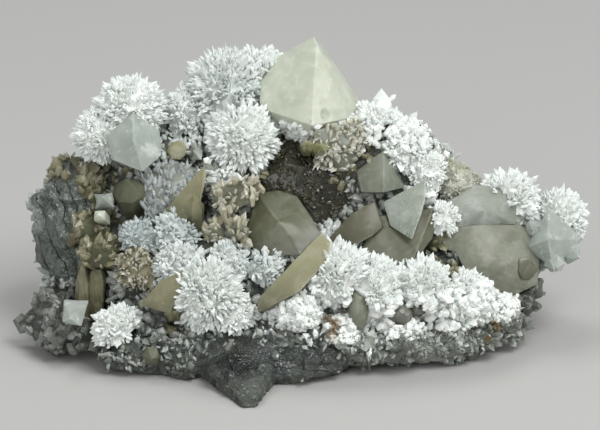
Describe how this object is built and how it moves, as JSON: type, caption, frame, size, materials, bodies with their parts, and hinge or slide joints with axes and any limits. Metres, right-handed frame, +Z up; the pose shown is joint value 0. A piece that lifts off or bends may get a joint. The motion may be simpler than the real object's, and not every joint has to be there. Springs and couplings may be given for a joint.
{
  "type": "aragonite mineral specimen",
  "caption": "Loose display specimen: white radiating sprays and clear pointed crystals grown over dark rock that is cut off flat below.",
  "frame": {"origin": "middle of the bounding box at the flat base", "axes": "+X to the viewer's right along the longest side, -Y towards the viewer, +Z up"},
  "size_m": [0.1192, 0.079, 0.0625],
  "materials": {
    "rock": "dark broken rock with dull metallic specks",
    "spray_white": "translucent white needles with glassy tips",
    "crystal_pale": "pale frosted calcite, translucent",
    "crystal_olive": "olive translucent calcite",
    "crystal_tan": "tan translucent blades",
    "crystal_grey": "clear grey-green calcite",
    "crystal_dark": "dark olive glassy crystal",
    "crystal_yellow": "pale yellow translucent crystal"
  },
  "bodies": {
    "root": {"back_cluster": "crystal_pale", "back_crystal": "crystal_pale", "back_crystal_left": "crystal_grey", "back_crystal_low": "crystal_olive", "back_spray": "spray_white", "ball_spray": "spray_white", "blue_slab": "crystal_grey", "brown_cluster": "crystal_tan", "brown_prism": "crystal_olive", "clear_fill": "crystal_olive", "clear_patch": "crystal_grey", "crest_back_spray": "spray_white", "crest_spray": "spray_white", "crown_spray": "spray_white", "crust_lens": "crystal_dark", "crust_lens_left": "crystal_dark", "crust_lens_right": "crystal_dark", "crust_spray": "spray_white", "dome_spray": "spray_white", "fan_spray": "spray_white", "floor_spray": "spray_white", "great_blade": "crystal_tan", "great_crystal": "crystal_pale", "grey_blades": "crystal_grey", "grey_pyramid": "crystal_grey", "grey_shards": "crystal_grey", "heart_spray": "spray_white", "knob_crystal": "crystal_olive", "left_columns": "crystal_tan", "left_lump": "crystal_grey", "left_spray": "spray_white", "lens_front": "crystal_olive", "low_back_spray": "spray_white", "lump_rhomb": "crystal_grey", "matrix": "rock", "olive_facets": "crystal_olive", "olive_ridge": "crystal_olive", "olive_wedge": "crystal_olive", "pale_pyramid": "crystal_pale", "pale_rhomb": "crystal_pale", "pale_slab": "crystal_pale", "recess_crystal": "crystal_dark", "right_cluster": "crystal_grey", "round_knob": "crystal_olive", "shoulder_crystal": "crystal_grey", "slab_blade": "crystal_olive", "small_cube": "crystal_pale", "small_rhomb": "crystal_pale", "spark_ridge": "spray_white", "tan_crystal": "crystal_olive", "tan_prisms": "crystal_tan", "tip_spray": "spray_white", "upper_slab": "crystal_pale", "upright_blades": "crystal_tan", "yellow_knob": "crystal_yellow", "yellow_lump": "crystal_yellow", "yellow_rhombs": "crystal_yellow"}
  },
  "joints": []
}
